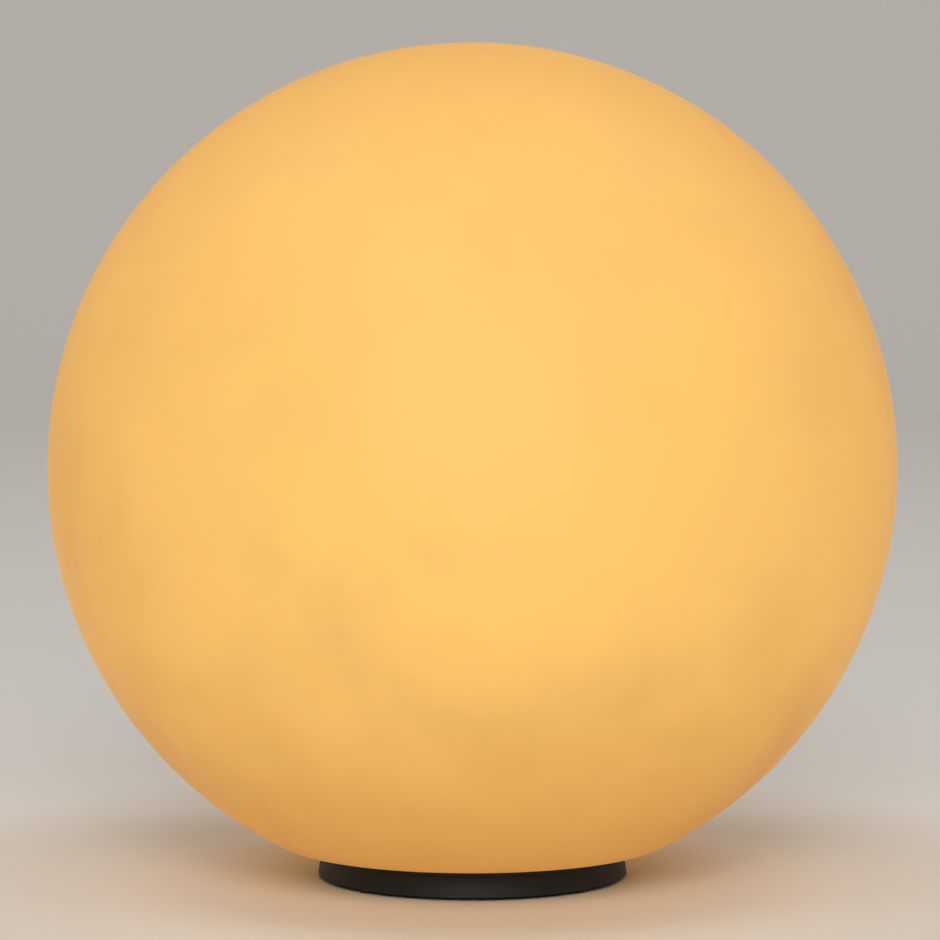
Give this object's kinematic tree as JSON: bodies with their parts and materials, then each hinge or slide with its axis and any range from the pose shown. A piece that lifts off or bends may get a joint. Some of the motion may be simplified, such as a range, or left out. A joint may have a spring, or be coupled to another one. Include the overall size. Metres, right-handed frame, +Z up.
{
  "type": "garden globe light",
  "caption": "Floor-standing garden globe light: opal ball with a flat underside on a low black foot with a lampholder, screw-cap lamp and cord gland.",
  "frame": {"origin": "on the ground, under the middle of the foot", "axes": "+Z up through the ball's centre, +Y towards the rear where the cord leaves, +X to the right seen from the front"},
  "size_m": [0.2999, 0.3, 0.2958],
  "materials": {
    "opal_plastic": "opal polyethylene, lit warm from inside, fine satin skin",
    "black_plastic": "black, finely grained moulding",
    "black_rubber": "dull black rubber",
    "plated_steel": "bright zinc-plated steel",
    "gland_plastic": "black polyamide",
    "holder_plastic": "black phenolic, low gloss",
    "core_ceramic": "white steatite",
    "brass": "plain brass",
    "nickel": "nickel-plated brass",
    "clear_glass": "clear blown glass",
    "cap_glass": "black vitreous insulation",
    "filament": "yellow phosphor coat over light sticks",
    "board": "fibre board with small parts",
    "white_block": "natural polyamide",
    "wire_brown": "brown insulation",
    "wire_blue": "blue insulation"
  },
  "bodies": {
    "base": {"globe_seal": "black_rubber", "base_housing": "black_plastic", "foot_ring": "black_plastic", "foot_screws": "plated_steel", "cord_box": "black_plastic", "cord_box_screws": "plated_steel", "rubber_feet": "black_rubber", "base_cover": "black_plastic", "cover_gasket": "black_rubber", "cover_screws": "plated_steel", "gland_body": "gland_plastic", "gland_washer": "black_rubber", "gland_seal": "black_rubber", "gland_nut": "gland_plastic", "gland_locknut": "gland_plastic", "holder_nipple": "plated_steel", "nipple_washer": "plated_steel", "nipple_nut": "plated_steel", "holder_cap": "holder_plastic", "holder_shell": "holder_plastic", "mouth_seal": "black_rubber", "holder_core": "core_ceramic", "screw_shell": "brass", "centre_contact": "nickel", "side_contact": "nickel", "holder_terminal_screws": "nickel", "terminal_block": "white_block", "terminal_clamps": "brass", "terminal_screws": "nickel", "block_screw": "plated_steel", "wire_brown": "wire_brown", "wire_blue": "wire_blue"},
    "globe": {"globe_shade": "opal_plastic"},
    "lamp": {"lamp_tip": "nickel", "lamp_insulator": "cap_glass", "lamp_cap": "nickel", "bulb_glass": "clear_glass", "bulb_stem": "clear_glass", "lamp_filaments": "filament", "filament_supports": "nickel", "lamp_driver": "board"}
  },
  "joints": [
    {"name": "globe_lift", "type": "slide", "parent": "base", "child": "globe", "axis": [0, 0, 1], "range_m": [0, 0.18]},
    {"name": "lamp_out", "type": "slide", "parent": "base", "child": "lamp", "axis": [0, 0, 1], "range_m": [0, 0.032]}
  ]
}
